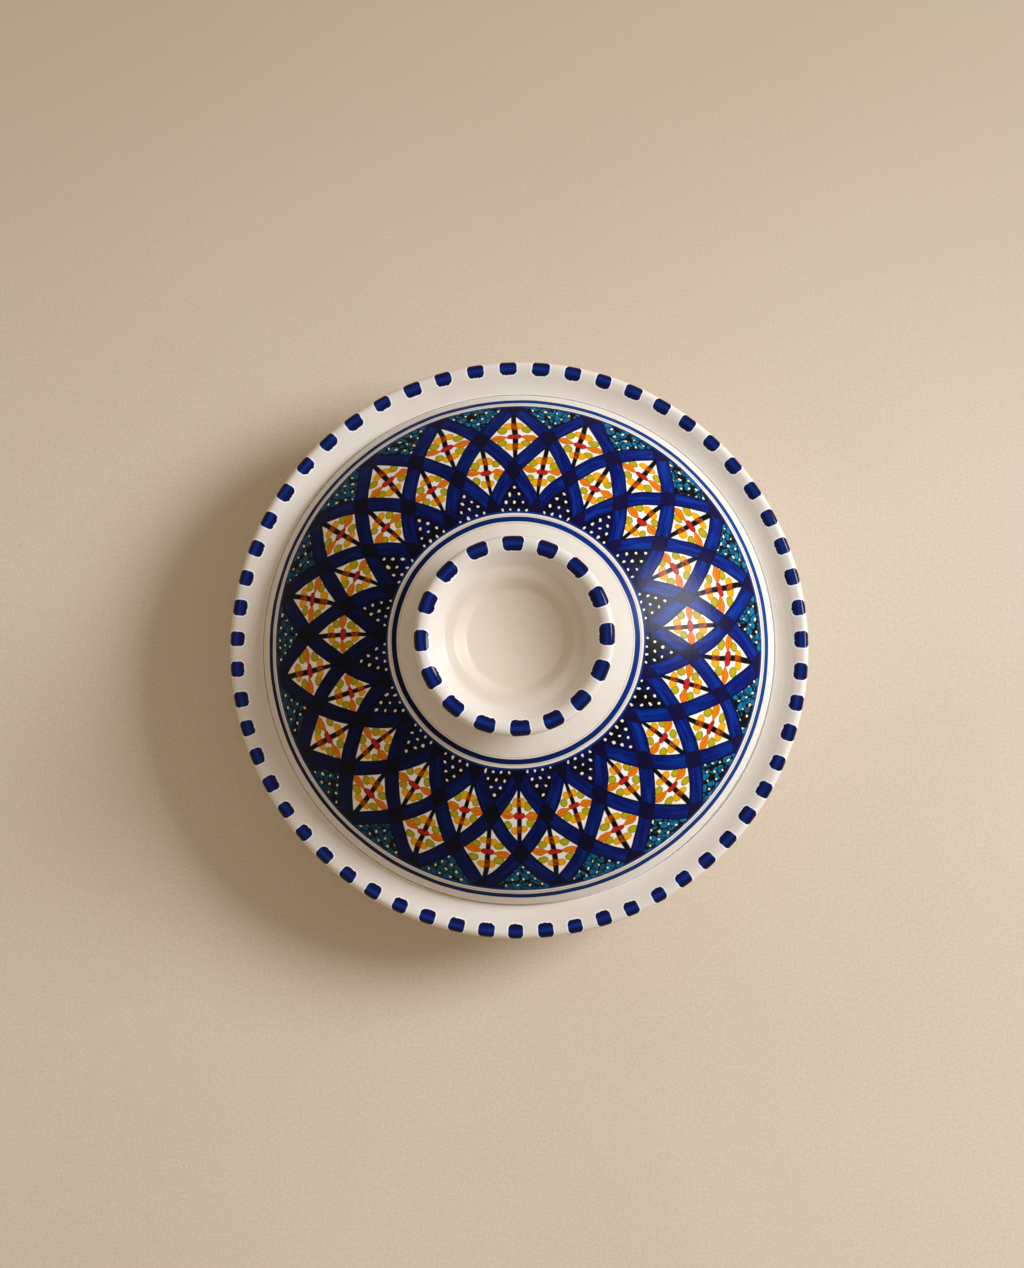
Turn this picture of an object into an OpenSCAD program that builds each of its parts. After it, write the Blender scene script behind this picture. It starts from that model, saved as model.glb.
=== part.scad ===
// Covered chip and dip server: a footed dish, a domed cover that seats inside
// its flange, and a dip cup luted to the crown of the cover.
// Millimetres, +Z up, origin at the middle of the foot, on the table.

/* [Base dish] */
// Diameter over the rim
dish_d = 320; // [280:1:360]
// Height of the rim above the table
dish_h = 50; // [44:0.5:56]
// Thickness of the dish's wall
dish_wall = 7; // [6:0.1:8]
// Thickness of the dish's floor
dish_floor = 7; // [6:0.1:9]
// Radius of the curve between the floor and the wall
dish_curve = 40; // [35:0.5:45]
// Width of the flange, from the step that keeps the cover central to the rim's edge
flange_w = 18.2; // [16:0.1:21]
// Radius of the hollow that runs up the flange
flange_hollow = 37; // [32:0.5:44]
// Steepest slope of the flange, where the hollow passes into the rim, in degrees
rim_slope = 25; // [20:1:28]
// Radius of the rim's top on its inner side
rim_crown = 11; // [9:0.5:14]
// Thickness of the rounded edge of the rim
rim_edge = 6.4; // [5.6:0.1:7.2]
// Slope of the flange's underside, in degrees
under_slope = 20; // [16:0.5:22]
// Radius of the cove between the wall and the underside of the flange
under_cove = 12; // [9:0.5:14]

/* [Foot ring] */
// Distance of the foot ring's outer edge from where the floor curves up
foot_inset = 4.5; // [3.5:0.1:30]
// Width of the foot ring on the table
foot_w = 7; // [5:0.5:12]
// Height of the foot ring
foot_h = 6; // [4:0.5:8]
// How far each side of the foot ring spreads on its way up
foot_spread = 2; // [0.5:0.25:3]
// Chamfer along both edges of the foot ring
foot_edge = 0.8; // [0.3:0.1:1.5]

/* [Seat for the cover] */
// Height of the step between the ledge and the flange
step_h = 1.6; // [1.2:0.1:2.4]
// Radius on the corner of that step
step_round = 0.6; // [0.4:0.1:1]
// Width of the ledge that carries the cover
seat_w = 10.8; // [9.5:0.1:12]
// Gap between the cover's edge and the ledge
seat_gap = 0.3; // [0.2:0.05:0.5]
// Gap all round between the cover's edge and the step
side_gap = 0.8; // [0.5:0.1:2]

/* [Cover] */
// Thickness of the cover
cover_wall = 6.4; // [5.6:0.1:7.2]
// Outer radius of the dome
dome_r = 185.8; // [165:0.1:205]
// Depth of the flat crown below the point the dome would reach
crown_drop = 6.5; // [5:0.1:8]
// Width of the bare flat round the foot of the cup's neck
crown_land = 0.8; // [0.4:0.1:4]

/* [Dip cup] */
// Diameter over the cup's rim
cup_d = 105.4; // [98:0.2:114]
// Height of the cup above the crown
cup_h = 25.7; // [24:0.1:29]
// Thickness of the rounded edge of the cup's rim
lip_edge = 7; // [6:0.1:7.8]
// Radius of the rim's top on its inner side
lip_crown = 7; // [5:0.5:8]
// Thickness of the cup's floor at its middle
cup_floor = 5.6; // [4.6:0.1:6.4]
// Radius of the dish in the cup's floor
floor_dish = 90; // [70:1:150]
// Radius at which the dished floor ends
floor_r = 25; // [22:0.5:27]
// Radius of the corner between the floor and the lower wall
floor_corner = 5; // [3:0.5:7]
// Slope of the lower wall inside the cup, in degrees
lower_slope = 40; // [34:1:46]
// Radius at which the lower wall passes into the shelf
shelf_r = 31.4; // [30:0.1:33]
// Slope of the shelf, in degrees
shelf_slope = 22; // [14:1:26]
// Radius that softens the edge of the shelf
shelf_round = 9; // [3:0.5:14]
// Radius at which the shelf meets the upper wall
ridge_r = 37.8; // [35:0.1:40]
// Radius in the bend between the shelf and the upper wall
ridge_round = 7; // [3:0.5:10]
// Radius of the neck that stands on the crown
neck_r = 33.5; // [30:0.1:37]
// Height of the neck
neck_h = 5; // [4:0.1:6]
// Radius of the slip fillet round the foot of the neck
neck_fillet = 1.8; // [1:0.1:2.4]
// Radius of the swelling between the neck and the rim
cup_swell = 48; // [38:1:70]

/* [Hidden] */
$fa = 1.5;
$fs = 0.3;
far = 400;
// Curves that touch run into each other by this much, so that nothing is left between them
touch = 0.003;
// Pieces of one profile run this far into each other
overlap = 1;

// Rim of the dish: the middle of its rounded edge, and of the wider curve on its inner side
rim = [dish_d / 2 - rim_edge / 2, dish_h - rim_edge / 2];
rim_top = [rim.x, dish_h - rim_crown - touch];
// The hollow of the flange touches the rim's curve, and a level land runs on from its lowest line
hollow = out_from(rim_top, -rim_slope, rim_crown + flange_hollow);
hollow_end = out_from(rim_top, -rim_slope, rim_crown);
land_z = hollow.y - flange_hollow;

// Ledge and step for the cover
seat_out = dish_d / 2 - flange_w;
seat_in = seat_out - seat_w;
seat_z = flange_z(seat_out) - step_h;
// The corner of the step touches the flange's top and the side of the seat
corner_x = seat_out + step_round;
above_corner = [min(corner_x, hollow.x), hollow.y];
step = [corner_x, hollow.y - leg(flange_hollow + step_round, corner_x - above_corner.x)];
step_end = toward(step, above_corner, step_round + overlap);

// The curve between the dish's floor and wall ends at the ledge
floor_z = foot_h + dish_floor;
curve_z = floor_z + dish_curve;
curve = [seat_in - leg(dish_curve, curve_z - seat_z), curve_z];
wall_curve = dish_curve + dish_wall;

// The flange's underside touches the rim's edge and the cove, and the cove touches the wall
rim_under = out_from(rim, 180 - under_slope, rim_edge / 2 - touch);
cove_far = out_from(rim, 180 - under_slope, rim_edge / 2 + under_cove);
inwards = [-cos(under_slope), -sin(under_slope)];
cove = cove_far + first_touch(cove_far - curve, inwards, wall_curve + under_cove) * inwards;
cove_top = out_from(cove, -under_slope, under_cove);

// Foot ring
foot_out = curve.x - foot_inset;
foot_in = foot_out - foot_w;
foot_root = foot_h + dish_floor / 2;

// Cover: its rounded edge sits over the ledge, and fixes the height of the dome
edge_r = cover_wall / 2;
edge = [seat_out - side_gap - edge_r, seat_z + seat_gap + edge_r];
edge_angle = asin(edge.x / (dome_r - edge_r));
dome = [0, edge.y - (dome_r - edge_r) * cos(edge_angle)];
crown_r = neck_r + neck_fillet + crown_land;
crown_z = dome.y + dome_r - crown_drop;
// The shoulder carries the dome over into the flat crown and touches both
crown_up = dome_r - crown_drop;
shoulder_r = (pow(dome_r, 2) - pow(crown_up, 2) - pow(crown_r, 2)) / (2 * crown_drop);
shoulder = [crown_r, crown_z - shoulder_r];
shoulder_angle = atan2(crown_r, crown_up - shoulder_r);

// Cup: rim as on the dish, then the points of its inside from the floor up
lip = [cup_d / 2 - lip_edge / 2, crown_z + cup_h - lip_edge / 2];
lip_top = [lip.x, crown_z + cup_h - lip_crown - touch];
dish = [0, crown_z + cup_floor + floor_dish];
dish_slope = asin(floor_r / floor_dish);
dish_end = out_from(dish, 180 - dish_slope, floor_dish);
corner = out_from(dish, 180 - dish_slope, floor_dish - floor_corner);
corner_end = out_from(corner, 180 - lower_slope, floor_corner);
shelf = rising(corner_end, shelf_r, lower_slope);
ridge = rising(shelf, ridge_r, shelf_slope);
// The upper wall touches the curve of the rim
to_lip = lip_top - ridge;
upper_slope = atan2(to_lip.y, to_lip.x) + asin((lip_crown - touch) / norm(to_lip));
upper_end = out_from(lip_top, -upper_slope, lip_crown - touch);
// The swelling starts at the top of the neck and touches the rim's edge
neck_top = [neck_r, crown_z + neck_h];
swell = meeting(neck_top, lip, cup_swell, cup_swell - lip_edge / 2 + touch);
swell_out = toward(swell, lip, cup_swell + lip_edge);

// Height of the flange's top at a radius
function flange_z(x) = hollow.y - leg(flange_hollow, max(x - hollow.x, 0));

// Other leg of a right triangle, from its longest side and one leg
function leg(longest, other) = sqrt(pow(longest, 2) - pow(other, 2));

// Point at an angle and a distance from another, the angle counted outwards from straight up
function out_from(point, angle, distance) = point + distance * [sin(angle), cos(angle)];

// Point at a distance from one point on the way to another
function toward(point, target, distance) = point + distance * (target - point) / norm(target - point);

// Point beyond another, as seen from a third, by the overlap
function past(point, seen_from) = toward(point, seen_from, -overlap);

// Point at a radius, on a line that rises outwards from another point at a slope
function rising(point, x, slope) = [x, point.y + (x - point.x) * tan(slope)];

// Centre of a disc that touches the lines from a corner through two other points
function nestled(corner, a, b, r) =
    let (u = (a - corner) / norm(a - corner), v = (b - corner) / norm(b - corner))
    corner + r / sin(acos(u * v) / 2) * (u + v) / norm(u + v);

// Point on the line through two others that is nearest to a third
function nearest(from, to, point) =
    let (way = (to - from) / norm(to - from))
    from + ((point - from) * way) * way;

// How far a point travels along a unit direction before it is at a distance from zero
function first_touch(start, way, distance) =
    -(start * way) - sqrt(pow(start * way, 2) - start * start + pow(distance, 2));

// The point above the line from a to b that lies at one distance from a and another from b
function meeting(a, b, from_a, from_b) =
    let (apart = norm(b - a), unit = (b - a) / apart)
    let (run = (pow(from_a, 2) - pow(from_b, 2) + pow(apart, 2)) / (2 * apart))
    a + run * unit + leg(from_a, run) * [-unit.y, unit.x];

module disc(centre, r) {
    translate(centre) circle(r = r);
}

// What lies between two angles as seen from a point, counted outwards from straight up
module wedge(point, from, to) {
    polygon([
        point, out_from(point, from, far),
        out_from(point, (from + to) / 2, 2 * far), out_from(point, to, far)
    ]);
}

// What lies between a corner and a disc that touches both of its sides, and the overlap beyond
module crease(corner, a, b, r) {
    middle = nestled(corner, a, b, r);
    difference() {
        polygon([
            middle, past(nearest(corner, a, middle), middle),
            past(corner, middle), past(nearest(corner, b, middle), middle)
        ]);
        disc(middle, r + touch);
    }
}

// Rounded edge with a wider curve on its inner side, which starts at a point
module rolled_edge(centre, thickness, crown, start) {
    depth = thickness / 4;
    inner = start.x - overlap;
    disc(centre, thickness / 2);
    intersection() {
        disc([centre.x, centre.y + thickness / 2 - crown - touch], crown);
        translate([inner, centre.y - depth]) square([centre.x - inner, depth + thickness]);
    }
}

module base_dish() {
    color("Ivory") rotate_extrude() {
        difference() {
            union() {
                bowl();
                flange();
            }
            disc(curve, dish_curve);
            translate([0, floor_z]) square([curve.x, far]);
            translate([0, seat_z]) square([seat_out, far]);
            step_corner();
        }
        foot_ring();
    }
}

module bowl() {
    translate([0, foot_h]) square([curve.x, dish_floor]);
    intersection() {
        disc(curve, wall_curve);
        translate([0, foot_h]) square([curve.x + wall_curve, seat_z - foot_h]);
    }
}

module flange() {
    difference() {
        polygon([curve, cove, cove_top, rim_under, rim, past(hollow_end, hollow), hollow]);
        disc(cove, under_cove + touch);
        disc(hollow, flange_hollow + touch);
        translate([0, land_z]) square([max(hollow.x, 0), far]);
    }
    rolled_edge(rim, rim_edge, rim_crown, hollow_end);
}

module step_corner() {
    difference() {
        polygon([[seat_out, step.y], step, step_end, [seat_out, step_end.y]]);
        disc(step, step_round + touch);
    }
}

module foot_ring() {
    polygon([
        [foot_in + foot_edge, 0], [foot_out - foot_edge, 0], [foot_out, foot_edge],
        [foot_out + foot_spread, foot_h], [foot_out + foot_spread, foot_root],
        [foot_in - foot_spread, foot_root], [foot_in - foot_spread, foot_h], [foot_in, foot_edge]
    ]);
}

module cover_dome() {
    color("MidnightBlue") rotate_extrude() {
        intersection() {
            difference() {
                under_dome(0);
                under_dome(cover_wall);
            }
            wedge(dome, 0, edge_angle);
        }
        disc(edge, edge_r + touch);
    }
}

// Everything under the top of the dome, its shoulder and its crown, let in by some thickness
module under_dome(inset) {
    intersection() {
        disc(dome, dome_r - inset);
        translate(dome) square([dome_r, crown_up - inset]);
        union() {
            disc(shoulder, shoulder_r - inset + touch);
            translate(dome) square([crown_r, crown_up]);
            wedge(dome, shoulder_angle, edge_angle + 10);
        }
    }
}

module dip_cup() {
    color("Linen") rotate_extrude() difference() {
        union() {
            cup_outside();
            neck_slip();
            rolled_edge(lip, lip_edge, lip_crown, upper_end);
        }
        cup_inside();
    }
}

module cup_outside() {
    translate([0, crown_z]) square([neck_r, neck_h + overlap]);
    intersection() {
        polygon([
            [0, neck_top.y - overlap], [swell_out.x, neck_top.y - overlap],
            swell_out, lip, upper_end, [0, upper_end.y]
        ]);
        disc(swell, cup_swell);
    }
}

module neck_slip() {
    difference() {
        translate([neck_r, crown_z]) square(neck_fillet);
        disc([neck_r + neck_fillet, crown_z + neck_fillet], neck_fillet + touch);
    }
}

module cup_inside() {
    difference() {
        union() {
            intersection() {
                disc(dish, floor_dish);
                translate([0, crown_z]) square([floor_r, corner.y - crown_z]);
            }
            disc(corner, floor_corner + touch);
            polygon([
                [0, dish_end.y], dish_end, corner, corner_end, shelf, ridge,
                rising(upper_end, lip.x, upper_slope), [lip.x, crown_z + far], [0, crown_z + far]
            ]);
        }
        crease(ridge, shelf, upper_end, ridge_round);
    }
    crease(shelf, corner_end, ridge, shelf_round);
}

base_dish();
cover_dome();
dip_cup();
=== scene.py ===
"""Looks of the covered chip and dip server: glazed, hand-painted stoneware, on a pale floor."""

from math import cos, degrees, pi, radians, sin

import bpy
from mathutils import Matrix, Vector


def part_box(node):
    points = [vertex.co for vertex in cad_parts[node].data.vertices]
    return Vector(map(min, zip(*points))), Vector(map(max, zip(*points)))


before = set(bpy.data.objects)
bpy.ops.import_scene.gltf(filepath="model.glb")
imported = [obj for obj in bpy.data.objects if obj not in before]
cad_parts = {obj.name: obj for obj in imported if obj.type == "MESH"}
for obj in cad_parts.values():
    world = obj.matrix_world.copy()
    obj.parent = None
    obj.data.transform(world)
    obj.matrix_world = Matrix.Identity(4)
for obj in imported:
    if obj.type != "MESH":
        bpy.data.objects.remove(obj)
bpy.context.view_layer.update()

# Lengths on the object are in millimetres, and Blender's are in metres
MM = 0.001
dish_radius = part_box("base_dish")[1].x / MM
dish_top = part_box("base_dish")[1].z / MM
cover_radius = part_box("cover_dome")[1].x / MM
cup_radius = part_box("dip_cup")[1].x / MM
cup_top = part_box("dip_cup")[1].z / MM

# How far below the top of a rim its dashes reach on the outside
DASH_DROP = 3.4
# Height of the bare clay on the foot ring
BARE_FOOT = 1.1
# Spacing of the rings that throwing leaves
RING_SPACING = 3.1
GLAZE_IOR = 1.5

# The lattice on the cover: ribbons lean each way, and cross in rows that are closer near the edge.
# A row lies ROW_ZERO + row * ROW_STEP + row * row * ROW_GROWTH in from the cover's edge.
REPEATS = 19
LATTICE_TURN = 91.1
LATTICE_DRIFT = ((1, 0.83, -96), (2, 0.82, 15))
ROW_ZERO = 8.8
ROW_STEP = 17.35
ROW_GROWTH = 0.95
# Half a ribbon's width, as a share of a repeat, and what each row adds to it
RIBBON = 0.14
RIBBON_GROWTH = 0.01
HALF_DIAMOND = 0.5 - RIBBON
# Limits of the painted band, in from the cover's edge, and how soft a painted edge is
BAND_OUTER = 7.5
BAND_INNER = 72.6
EDGE_BLUR = 0.12

# Colours, as sRGB bytes
CREAM = (236, 228, 217)
CREAM_WARM = (228, 214, 194)
CREAM_POOLED = (241, 235, 227)
CUP_SHADE = (222, 207, 184)
CLAY = (203, 158, 117)
CLAY_DARK = (168, 120, 84)
NAVY = (4, 13, 74)
# Lighter navy for the brush streaks in the dashes and for their painted highlight along a rim's crest
NAVY_STREAK_AND_SHEEN = (4, 52, 144)
NAVY_DARK = (3, 6, 34)
HALO = (255, 253, 250)
STAIN = (240, 234, 204)
LINE_BLUE = (4, 50, 128)
LINE_SHADE = (2, 10, 56)
EDGE_LINE_BLUE = (0, 64, 136)
EDGE_LINE_SHADE = (2, 20, 66)
COBALT = (3, 20, 104)
COBALT_PALE = (4, 56, 158)
COBALT_SHADE = (1, 5, 34)
COBALT_EDGE = (2, 5, 30)
KNOT = (18, 12, 58)
KNOT_SHADE = (5, 5, 22)
BORDER_BLUE = (8, 56, 132)
BLACK = (8, 7, 9)
NIGHT = (10, 18, 76)
TEAL = (8, 126, 170)
TEAL_DEEP_AND_SHADE = (2, 62, 92)
DOT = (248, 243, 228)
DOT_YELLOW = (236, 228, 160)
OLIVE = (184, 168, 14)
OLIVE_DEEP = (136, 124, 6)
YELLOW = (236, 174, 10)
YELLOW_DEEP = (212, 138, 4)
ORANGE = (228, 128, 2)
ORANGE_DEEP = (202, 72, 2)
RED = (190, 38, 26)
RED_DEEP = (140, 20, 16)
BURNT = (192, 80, 10)
BURNT_DARK = (84, 38, 8)
FAINT_LINE = (196, 178, 158)
FLOOR = (234, 221, 202)
FLOOR_SHADE = (217, 201, 178)
FLOOR_FAR_SHADOW = (192, 174, 148)
FLOOR_LAMP_SHADE = (148, 139, 127)


def linear(colour):
    """A colour in sRGB bytes as the linear RGBA that Blender's sockets hold."""
    parts = [c / 255 for c in colour]
    return [c / 12.92 if c <= 0.04045 else ((c + 0.055) / 1.055) ** 2.4 for c in parts] + [1.0]


class Field:
    """A number that varies over a surface. Arithmetic on fields adds Math nodes to their material."""

    def __init__(self, tree, socket):
        self.tree = tree
        self.socket = socket

    def math(self, operation, *others):
        return combined(self.tree, operation, (self,) + others)

    def __add__(self, other):
        return self.math("ADD", other)

    def __radd__(self, other):
        return self.math("ADD", other)

    def __sub__(self, other):
        return self.math("SUBTRACT", other)

    def __rsub__(self, other):
        return combined(self.tree, "SUBTRACT", (other, self))

    def __mul__(self, other):
        return self.math("MULTIPLY", other)

    def __truediv__(self, other):
        return self.math("DIVIDE", other)

    def __abs__(self):
        return self.math("ABSOLUTE")

    def sqrt(self):
        return self.math("SQRT")

    def floor(self):
        return self.math("FLOOR")

    def fract(self):
        return self.math("FRACT")

    def to_nearest(self):
        """Signed distance to the nearest whole number."""
        return (self + 0.5).fract() - 0.5

    def most(self, other):
        return self.math("MAXIMUM", other)

    def over(self, edge, blur):
        """0 below an edge and 1 above it, with a soft step as wide as twice the blur."""
        node = self.tree.nodes.new("ShaderNodeMapRange")
        node.interpolation_type = "SMOOTHSTEP"
        feed(self.tree, node.inputs["Value"], self)
        feed(self.tree, node.inputs["From Min"], edge - blur)
        feed(self.tree, node.inputs["From Max"], edge + blur)
        return Field(self.tree, node.outputs["Result"])

    def under(self, edge, blur):
        """1 below an edge and 0 above it, with the same soft step."""
        return 1 - self.over(edge, blur)

    def equals(self, number):
        """1 where a whole number has this value, else 0."""
        return abs(self - number).math("LESS_THAN", 0.5)


def feed(tree, socket, value):
    """Gives a socket a field, by a link, or a plain value."""
    if isinstance(value, Field):
        tree.links.new(value.socket, socket)
    else:
        socket.default_value = value


def combined(tree, operation, values):
    """A Math node's result for fields and plain numbers."""
    node = tree.nodes.new("ShaderNodeMath")
    node.operation = operation
    for socket, value in zip(node.inputs, values):
        feed(tree, socket, value)
    return Field(tree, node.outputs[0])


def distance_to(x, y):
    """How far a point of a plane is from its origin."""
    return (x * x + y * y).sqrt()


class Paint:
    """A surface being painted: each coat covers what lies under it where its mask is 1."""

    def __init__(self, name):
        self.material = bpy.data.materials.new(name)
        self.material.use_nodes = True
        self.tree = self.material.node_tree
        self.shader = self.tree.nodes["Principled BSDF"]
        coordinates = self.tree.nodes.new("ShaderNodeTexCoord")
        self.place = Field(self.tree, coordinates.outputs["Object"])
        self.x, self.y, self.z = [axis / MM for axis in self.split(self.place)]
        self.normal_z = self.split(Field(self.tree, coordinates.outputs["Normal"]))[2]
        self.radius = distance_to(self.x, self.y)
        self.angle = self.y.math("ARCTAN2", self.x) * degrees(1)

    def split(self, vector):
        """The three numbers of a vector."""
        node = self.tree.nodes.new("ShaderNodeSeparateXYZ")
        feed(self.tree, node.inputs[0], vector)
        return [Field(self.tree, output) for output in node.outputs]

    def join(self, x, y, z):
        """A vector of three numbers."""
        node = self.tree.nodes.new("ShaderNodeCombineXYZ")
        for socket, value in zip(node.inputs, (x, y, z)):
            feed(self.tree, socket, value)
        return Field(self.tree, node.outputs[0])

    def noise(self, size, detail=2.0, where=None):
        """Smooth noise from 0 to 1. Its blotches are about this many millimetres across,
        or units of the vector that says where."""
        node = self.tree.nodes.new("ShaderNodeTexNoise")
        feed(self.tree, node.inputs["Vector"], where or self.place)
        node.inputs["Scale"].default_value = 1 / size if where else 1 / (size * MM)
        node.inputs["Detail"].default_value = detail
        return Field(self.tree, node.outputs["Fac"])

    def wobble(self, size, amount, offset):
        """Noise of about this size, from about minus to plus an amount, different for each offset."""
        node = self.tree.nodes.new("ShaderNodeVectorMath")
        feed(self.tree, node.inputs[0], self.place)
        node.inputs[1].default_value = (offset, 2 * offset, -offset)
        shifted = Field(self.tree, node.outputs[0])
        return (self.noise(size * MM, 1.0, shifted) - 0.5) * (4 * amount)

    def chance(self, cell, row, seed):
        """A random number from -1 to 1 for each cell of a pattern."""
        node = self.tree.nodes.new("ShaderNodeTexWhiteNoise")
        node.noise_dimensions = "3D"
        feed(self.tree, node.inputs["Vector"], self.join(cell + 0.37, row + 0.21, seed + 0.5))
        return Field(self.tree, node.outputs["Value"]) * 2 - 1

    def shards(self, feature, where):
        """Distance in a random tiling of cells, from a cell's middle (F1) or its edge."""
        node = self.tree.nodes.new("ShaderNodeTexVoronoi")
        node.feature = feature
        node.inputs["Scale"].default_value = 1.0
        node.inputs["Randomness"].default_value = 0.85
        feed(self.tree, node.inputs["Vector"], where)
        return Field(self.tree, node.outputs["Distance"])

    def blend(self, low, high, mask):
        """Colour that goes from one to another as a mask goes from 0 to 1."""
        node = self.tree.nodes.new("ShaderNodeMix")
        node.data_type = "RGBA"
        feed(self.tree, node.inputs[0], mask)
        for socket, colour in ((node.inputs[6], low), (node.inputs[7], high)):
            feed(self.tree, socket, colour if isinstance(colour, Field) else linear(colour))
        return Field(self.tree, node.outputs[2])

    def coat(self, colour, mask):
        """Covers what is painted so far with a colour, where the mask is 1."""
        self.colour = self.blend(self.colour, colour, mask)

    def ground(self):
        """Cream tin glaze: a little warmer where it is thin and clearer where it pools."""
        cloud = self.noise(60, 3.0)
        self.colour = self.blend(CREAM, CREAM_WARM, cloud.over(0.62, 0.28) * 0.55)
        self.coat(CREAM_POOLED, self.noise(23, 2.0).over(0.6, 0.2) * 0.5)
        self.coat(CREAM_WARM, self.noise(1.1, 1.0).over(0.76, 0.06) * 0.35)
        self.rough = self.noise(9, 3.0) * 0.1 + 0.1

    def finish(self, ring_height, shine):
        """Sets the shader: a clear gloss with throwing rings and a faint ripple in the glaze."""
        ring_wave = (self.radius * (2 * pi / RING_SPACING) + self.wobble(18, 0.8, 3.1)).math("SINE")
        ripple = self.noise(7, 2.0) * 0.16 + ring_wave * ring_height * self.noise(30, 1.0)
        bump = self.tree.nodes.new("ShaderNodeBump")
        bump.inputs["Distance"].default_value = MM
        bump.inputs["Strength"].default_value = 0.35
        feed(self.tree, bump.inputs["Height"], ripple)
        self.tree.links.new(bump.outputs["Normal"], self.shader.inputs["Normal"])
        feed(self.tree, self.shader.inputs["Base Color"], self.colour)
        feed(self.tree, self.shader.inputs["Roughness"], self.rough)
        self.shader.inputs["IOR"].default_value = GLAZE_IOR
        self.shader.inputs["Specular IOR Level"].default_value = shine
        return self.material


def drift(paint, waves):
    """How far the painter's spacing runs ahead or behind round the circle, in degrees.
    Each wave is how often it goes round, its height and its lead."""
    total = 0
    for times, height, lead in waves:
        total = (paint.angle * radians(times) + radians(lead)).math("SINE") * height + total
    return total


def paint_dashes(paint, count, first_angle, waves, width, inner, outer, lowest):
    """Cobalt dashes across a rolled rim, from one radius to another, each in a rim of clear glaze,
    with a painted highlight along the crest of the roll.
    """
    pitch = 360 / count
    turn = (paint.angle - drift(paint, waves) - first_angle) / pitch
    cell = ((turn + 0.5).floor() + 4 * count).math("MODULO", count)
    middle = (inner + outer) / 2
    arc = 2 * pi * middle / count
    across = turn.to_nearest() * arc + paint.chance(cell, 0, 1) * 0.35 + paint.wobble(3.5, 0.22, 1.7)
    half_width = width / 2 + paint.chance(cell, 0, 2) * 0.3
    along = paint.radius - middle
    ragged = (paint.wobble(1.7, 0.32, 5.3) + paint.chance(cell, 0, 3) * 0.35) * along.under(0, 1.5)
    half_length = (outer - inner) / 2
    bend = 2.5
    corner_x = (abs(across) - half_width + bend).most(0)
    corner_y = (abs(along) - half_length + bend + ragged).most(0)
    reach = distance_to(corner_x, corner_y) - bend
    upper = paint.z.over(lowest, 0.25)
    paint.coat(HALO, reach.under(0.65, 0.14) * upper)
    streaks = paint.noise(0.9, 2.0, paint.join(across * 0.09, along, cell * 7.3))
    # Painted highlight: a lighter band along the crest of the rolled rim, carrying the brush streaks
    crest = abs(along - paint.chance(cell, 0, 4) * 0.5).under(1.1, 1.0)
    shade = paint.blend(NAVY, NAVY_STREAK_AND_SHEEN, (streaks.over(0.5, 0.2) * 0.5 + 0.4) * crest)
    ends = (abs(along + 0.4) / half_length).over(0.72, 0.26)
    shade = paint.blend(shade, NAVY_DARK, ends * 0.75)
    paint.coat(shade, reach.under(0, 0.14) * upper)


def dish_glaze():
    """Cream glaze with dashes on the rim, painted lighter along the seat to lift the shade in the gap
    under the cover, and a bare clay foot.
    """
    paint = Paint("dish_glaze")
    paint.ground()
    paint_dashes(
        paint,
        count=57,
        first_angle=92.6,
        waves=((1, 3.0, -90), (2, 0.3, 90), (3, 0.38, 0)),
        width=8.9,
        inner=dish_radius - 7.9,
        outer=dish_radius,
        lowest=dish_top - DASH_DROP,
    )
    # Painted light: whiter glaze along the seat, to lift the shade in the gap under the cover's edge
    seat = abs(paint.radius - cover_radius).under(1.4, 0.4)
    paint.coat(HALO, seat * paint.normal_z.over(-0.3, 0.1))
    bare = paint.z.under(BARE_FOOT, 0.25)
    clay = paint.blend(CLAY, CLAY_DARK, paint.noise(1.5, 4.0).over(0.5, 0.2))
    paint.coat(clay, bare)
    paint.rough = paint.rough - 0.05 + bare * 0.65
    return paint.finish(0.05, 0.2)


def cup_glaze():
    """Cream glaze with dashes on the rim, and duller inside the cup, where it is also darker and
    warmer as painted shade.
    """
    paint = Paint("cup_glaze")
    paint.ground()
    rim_inside = cup_radius - 8.3
    # Painted shade: darker, warmer glaze down in the cup
    paint.coat(CUP_SHADE, paint.radius.under(cup_radius - 16, 5) * 0.7)
    paint_dashes(
        paint,
        count=16,
        first_angle=92.1,
        waves=((1, 1.7, -139), (2, 1.2, 0), (3, 0.36, 0)),
        width=11.0,
        inner=rim_inside,
        outer=cup_radius,
        lowest=cup_top - DASH_DROP,
    )
    paint.rough = paint.rough - 0.05 + paint.radius.under(rim_inside, 2) * 0.22
    return paint.finish(0.03, 0.2)


def line(paint, distance, middle, width):
    """Mask of a painted line at a distance in from the cover's edge."""
    brushed = distance + paint.wobble(14, 0.12, 7.7)
    return abs(brushed - middle).under(width / 2, EDGE_BLUR)


def oval(x, y, at_x, at_y, wide, high):
    """Distance from the middle of an oval, 1 on its edge."""
    return distance_to((x - at_x) / wide, (y - at_y) / high)


def stroke(paint, distance, pale, deep):
    """A dab of thin colour that is deeper along its edge, where the brush left it."""
    shade = paint.blend(pale, deep, distance.over(0.78, 0.3))
    paint.coat(shade, distance.under(1, 0.09))


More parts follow.
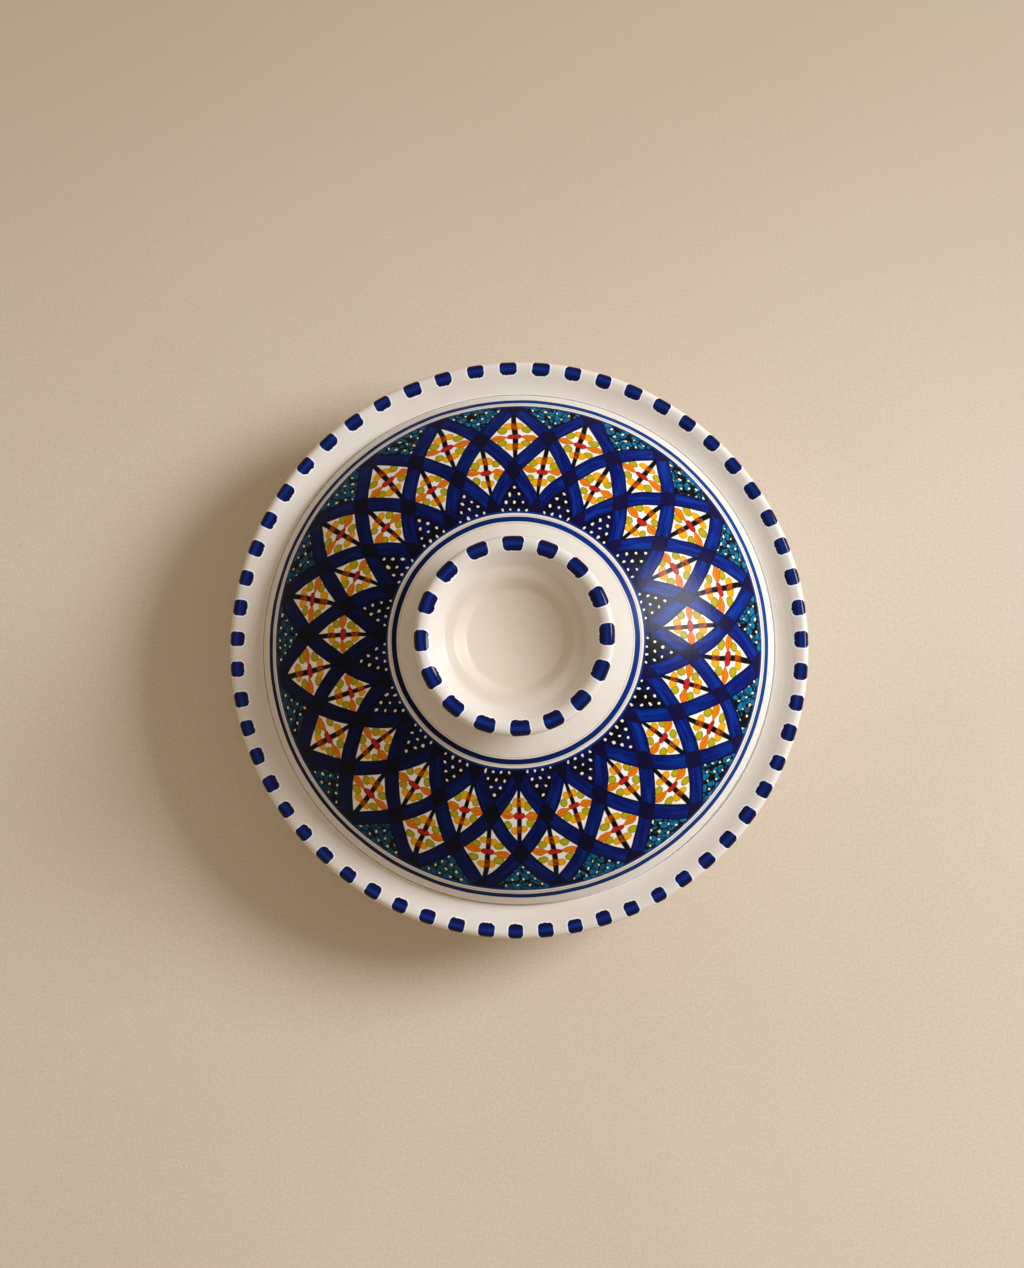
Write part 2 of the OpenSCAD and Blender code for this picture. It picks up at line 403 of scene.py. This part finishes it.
def paint_diamonds(paint, fraction_p, fraction_q, cell, row, inside):
    """White diamonds with a black line, olive and yellow petals, orange points and a red heart."""
    skew = (fraction_p + fraction_q - 1) / (2 * HALF_DIAMOND)
    rise = (fraction_q - fraction_p) / (2 * HALF_DIAMOND)
    x = skew + paint.wobble(5, 0.03, 2.3)
    y = rise + paint.wobble(5, 0.03, 4.1)
    before = paint.colour
    white = paint.blend(HALO, STAIN, paint.noise(4, 2.0).over(0.52, 0.2) * 0.6)
    paint.coat(white, 1.0)

    def shift(seed, amount):
        return paint.chance(cell, row, seed) * amount

    for side in (-1, 1):
        for end in (-1, 1):
            seed = 10 + 4 * side + end
            leaf_x = side * 0.5 + shift(seed + 40, 0.06)
            leaf_y = end * 0.28 + shift(seed + 60, 0.04)
            stroke(paint, oval(x, y, leaf_x, leaf_y, 0.21, 0.15), OLIVE, OLIVE_DEEP)
            petal_x = side * 0.18 + shift(seed, 0.04)
            petal_y = end * 0.45 + shift(seed + 20, 0.03)
            stroke(paint, oval(x, y, petal_x, petal_y, 0.21, 0.145), YELLOW, YELLOW_DEEP)
        along = (x * side - 0.6) / 0.4
        lean = shift(90 + side, 0.12)
        thick = ((1 - along * along) * (along * 0.35 + 1) * 0.14).most(0.004)
        off = (y + lean * x) / thick
        stroke(paint, abs(off).most(abs(along)), ORANGE, ORANGE_DEEP)
        vein = abs(off - shift(95 + side, 0.3)).under(0.16, 0.1) * abs(along).under(0.75, 0.1)
        paint.coat(BURNT, vein * 0.55)
    spine = abs(skew + paint.wobble(9, 0.012, 6.1) + shift(70, 0.04) + rise * shift(71, 0.05))
    spine = spine + abs(rise) * 0.02
    paint.coat(BLACK, spine.under(0.118, 0.02))
    burnt = abs(abs(y) - 0.44).under(0.13, 0.04) * spine.under(0.125, 0.02)
    paint.coat(paint.blend(BURNT_DARK, BURNT, paint.noise(1.6, 1.0).over(0.47, 0.12)), burnt * 0.85)
    heart = oval(abs(x), y + shift(80, 0.04), 0.12, 0, 0.17, 0.105)
    stroke(paint, heart, RED, RED_DEEP)
    edge = abs(skew) + abs(rise)
    paint.coat(COBALT_EDGE, edge.over(1.0, 0.03))
    paint.colour = paint.blend(before, paint.colour, inside)


def thick(paint):
    """How much painted shade darkens the dark colours: 0 on the cover's side toward the lamp, 1 on the
    side away from it.
    """
    # The bearing, in degrees, of the side toward the lamp
    palest = 20
    return 0.5 - ((paint.angle - palest) * radians(1)).math("COSINE") * 0.5


def paint_rim_triangles(paint, u, t, inside):
    """Teal blots and pale dots on black, in the triangles between the lattice and the cover's edge."""
    rows = (t - 0.09) / 0.18
    row = (rows + 0.5).floor()
    half_step = abs(row).math("MODULO", 2) * 0.5
    straight = (u - 0.5) / 0.15
    columns = straight + half_step
    dot_x = (columns.to_nearest() + paint.wobble(3.2, 0.12, 8.8)) * 6.4
    dot_y = (rows.to_nearest() + paint.wobble(3.2, 0.1, 9.9)) * 3.3
    dots = distance_to(dot_x, dot_y)
    where = paint.join(straight * 1.32, rows + straight * 0.36, (u - 0.5).floor() * 3.3)
    middle = paint.shards("F1", where)
    edge = paint.shards("DISTANCE_TO_EDGE", where)
    # Deeper teal in random blots, and as painted shade on the side away from the lamp
    deep = paint.noise(2.4, 2.0).over(0.52, 0.14).most(thick(paint) * 0.95)
    teal = paint.blend(TEAL, TEAL_DEEP_AND_SHADE, deep)
    paint.coat(teal, inside * middle.under(0.6, 0.06) * edge.over(0.07, 0.035))
    paint.coat(BLACK, inside * dots.under(0.98, 0.15))
    tint = paint.blend(DOT, DOT_YELLOW, paint.noise(6, 1.0).over(0.5, 0.1))
    paint.coat(tint, inside * dots.under(0.64, 0.12))


def paint_crown_triangles(paint, fraction_p, fraction_q, inside):
    """White dots in triangular ranks on black, between the lattice and the crown."""
    rank = 0.19
    first = 0.24
    rise = (fraction_q - first) / rank + paint.wobble(3.2, 0.1, 6.6)
    fall = (1 - fraction_p - first) / rank + paint.wobble(3.2, 0.1, 11.3)
    rise_off = rise.to_nearest() * rank
    fall_off = fall.to_nearest() * rank
    dot_x = (rise_off - fall_off) * 13.2
    dot_y = (rise_off + fall_off) * 22.3
    dots = distance_to(dot_x, dot_y)
    night = paint.noise(7, 1.0).over(0.52, 0.1)
    paint.coat(NIGHT, inside * night * 0.8)
    ranks = rise.over(-0.5, 0.02) * fall.over(-0.5, 0.02)
    paint.coat(DOT, inside * dots.under(0.74, 0.13) * ranks)


def paint_ribbons(paint, p, q, t):
    """Cobalt ribbons, streaked along their length, and the dark knots where they cross, both darkened
    as painted shade on the side away from the lamp.
    """
    half = t * RIBBON_GROWTH + RIBBON
    for across, along in ((p, q), (q, p)):
        near = across.to_nearest()
        ribbon = (across + 0.5).floor()
        streaks = paint.noise(1.0, 2.0, paint.join(near * 11, along * 1.6, ribbon * 2.7))
        beyond = abs(near) - half
        centre = beyond.under(-0.07, 0.06)
        shade = paint.blend(COBALT, COBALT_PALE, streaks.over(0.54, 0.16) * (centre * 0.65 + 0.25))
        # Painted shade: darker cobalt on the side of the cover away from the lamp
        shade = paint.blend(shade, COBALT_SHADE, thick(paint) * 0.85)
        edge = beyond.over(-0.028, 0.028)
        paint.coat(paint.blend(shade, COBALT_EDGE, edge), beyond.under(0, 0.008))
    squareness = 2.6
    across_p = (abs(p.to_nearest()) / half).math("POWER", squareness)
    across_q = (abs(q.to_nearest()) / half).math("POWER", squareness)
    knot = (across_p + across_q).math("POWER", 1 / squareness) + paint.wobble(4, 0.1, 12.9)
    # The knots, darker as painted shade on the side away from the lamp
    paint.coat(paint.blend(KNOT, KNOT_SHADE, thick(paint).over(0.3, 0.4)), knot.under(1.1, 0.05) * 0.95)


def paint_lattice(paint, distance, outside):
    """The painted band of the cover: a lattice of ribbons over diamonds and dotted triangles."""
    turn = paint.angle - drift(paint, LATTICE_DRIFT) - LATTICE_TURN
    u = turn / (360 / REPEATS) + paint.wobble(22, 0.02, 13.7)
    halfway = ROW_STEP / (2 * ROW_GROWTH)
    depth = ((distance - ROW_ZERO) / ROW_GROWTH + halfway * halfway).most(0).sqrt() - halfway
    t = depth + paint.wobble(22, 0.03, 14.9)
    p = u - t * 0.5
    q = u + t * 0.5
    row = q.floor() - p.floor()
    cell = (p.floor() + 4 * REPEATS).math("MODULO", REPEATS)
    fraction_p = p.fract()
    fraction_q = q.fract()
    before = paint.colour
    paint.coat(BLACK, 1.0)
    paint_rim_triangles(paint, u, t, row.equals(0))
    paint_crown_triangles(paint, fraction_p, fraction_q, row.equals(3))
    paint_diamonds(paint, fraction_p, fraction_q, cell, row, row.equals(1).most(row.equals(2)))
    paint_ribbons(paint, p, q, t)
    outer_border = abs(distance - BAND_OUTER).under(0.9, 0.15)
    inner_border = abs(distance - BAND_INNER).under(1.1, 0.15)
    paint.coat(BORDER_BLUE, outer_border.most(inner_border) * 0.75)
    band = distance.over(BAND_OUTER, EDGE_BLUR) * distance.under(BAND_INNER, EDGE_BLUR)
    paint.colour = paint.blend(before, paint.colour, band * outside)


def cover_glaze():
    """Cream glaze with the painted lattice between lines, and bare of painting inside the dome."""
    paint = Paint("cover_glaze")
    paint.ground()
    outside = paint.normal_z.over(0, 0.05)
    distance = cover_radius - paint.radius + paint.wobble(40, 0.15, 15.5)
    paint_lattice(paint, distance, outside)
    # The lines, darker as painted shade on the side away from the lamp
    blue = paint.blend(LINE_BLUE, LINE_SHADE, thick(paint))
    edge_blue = paint.blend(EDGE_LINE_BLUE, EDGE_LINE_SHADE, thick(paint))
    for middle, width, colour in (
        (4.6, 2.1, edge_blue),
        (6.4, 0.4, FAINT_LINE),
        (76.0, 2.8, blue),
        (74.0, 0.4, FAINT_LINE),
        (78.3, 0.3, FAINT_LINE),
    ):
        paint.coat(colour, line(paint, distance, middle, width) * outside)
    paint.rough = paint.rough + 0.08
    # Painted light: whiter glaze at the very edge, to lift the shade in the gap where the cover sits
    paint.coat(HALO, distance.under(0.3, 0.3))
    return paint.finish(0.015, 0.11)


def dress(node, material):
    """Gives a CAD node one material."""
    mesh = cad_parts[node].data
    mesh.materials.clear()
    mesh.materials.append(material)


dress("base_dish", dish_glaze())
dress("cover_dome", cover_glaze())
dress("dip_cup", cup_glaze())

# The one lamp, in metres: it stands to the right of the object and a little behind it
KEY_BEARING = radians(18)
KEY_HEIGHT = radians(31)
KEY_DISTANCE = 2.6
KEY_AIM = Vector((0, 0, 0.05))
KEY_WAY = Vector((
    cos(KEY_BEARING) * cos(KEY_HEIGHT),
    sin(KEY_BEARING) * cos(KEY_HEIGHT),
    sin(KEY_HEIGHT),
))
KEY_PLACE = KEY_AIM + KEY_DISTANCE * KEY_WAY


def floor_material():
    """Matt plaster with a faint mottle and a fine grain. It has a painted shadow toward the picture's
    far edge, and painted shade under the lamp, which holds back the pool of light where it would burn
    out."""
    paint = Paint("floor")
    mottle = paint.noise(1000 / 3, 3.0).over(0.5, 0.22) * 0.28
    grain = paint.noise(1000 / 650, 3.0).over(0.5, 0.22) * 0.55
    paint.colour = paint.blend(FLOOR, FLOOR_SHADE, mottle + grain)
    # Painted shadow toward the picture's far edge
    paint.coat(FLOOR_FAR_SHADOW, paint.y.over(240, 220) * 0.8)
    from_lamp = distance_to(paint.x - KEY_PLACE.x / MM, paint.y - KEY_PLACE.y / MM)
    # Painted shade under the lamp, holding back its pool of light
    paint.coat(FLOOR_LAMP_SHADE, from_lamp.under(1350, 750))
    feed(paint.tree, paint.shader.inputs["Base Color"], paint.colour)
    paint.shader.inputs["Roughness"].default_value = 0.85
    paint.shader.inputs["Specular IOR Level"].default_value = 0.2
    return paint.material


def make_floor():
    """A plain square that the object stands on."""
    half = 6.0
    mesh = bpy.data.meshes.new("floor")
    corners = [(-half, -half, 0), (half, -half, 0), (half, half, 0), (-half, half, 0)]
    mesh.from_pydata(corners, [], [(0, 1, 2, 3)])
    floor = bpy.data.objects.new("floor", mesh)
    bpy.context.scene.collection.objects.link(floor)
    floor.data.materials.append(floor_material())


def looking(place, target, up):
    """A matrix that stands at a place, looks at a target and keeps a direction upwards."""
    back = (place - target).normalized()
    right = up.cross(back).normalized()
    true_up = back.cross(right)
    turn = Matrix((right, true_up, back)).transposed().to_4x4()
    return Matrix.Translation(place) @ turn


def make_camera():
    """Almost straight above, tilted five degrees."""
    tilt = radians(5)
    bearing = radians(-70.7)
    distance = 1.5
    target = Vector((-0.0035, 0.0075, dish_top * MM))
    way = Vector((cos(bearing) * sin(tilt), sin(bearing) * sin(tilt), cos(tilt)))
    data = bpy.data.cameras.new("camera")
    data.sensor_width = 36
    data.lens = 77.1
    camera = bpy.data.objects.new("camera", data)
    camera.matrix_world = looking(target + distance * way, target, Vector((0, 1, 0)))
    bpy.context.scene.collection.objects.link(camera)
    bpy.context.scene.camera = camera


def make_lamp():
    """A wide, soft disc of light."""
    data = bpy.data.lights.new("key", "AREA")
    data.shape = "DISK"
    data.size = 1.2
    data.energy = 73
    data.color = linear((238, 244, 255))[:3]
    lamp = bpy.data.objects.new("key", data)
    lamp.matrix_world = looking(KEY_PLACE, KEY_AIM, Vector((0, 0, 1)))
    bpy.context.scene.collection.objects.link(lamp)


def make_world():
    """A dim warm light from all round."""
    world = bpy.data.worlds.new("world")
    world.use_nodes = True
    background = world.node_tree.nodes["Background"]
    background.inputs["Color"].default_value = linear((255, 234, 208))
    background.inputs["Strength"].default_value = 0.39
    bpy.context.scene.world = world


make_floor()
make_camera()
make_lamp()
make_world()

view = bpy.context.scene.view_settings
view.view_transform = "Standard"
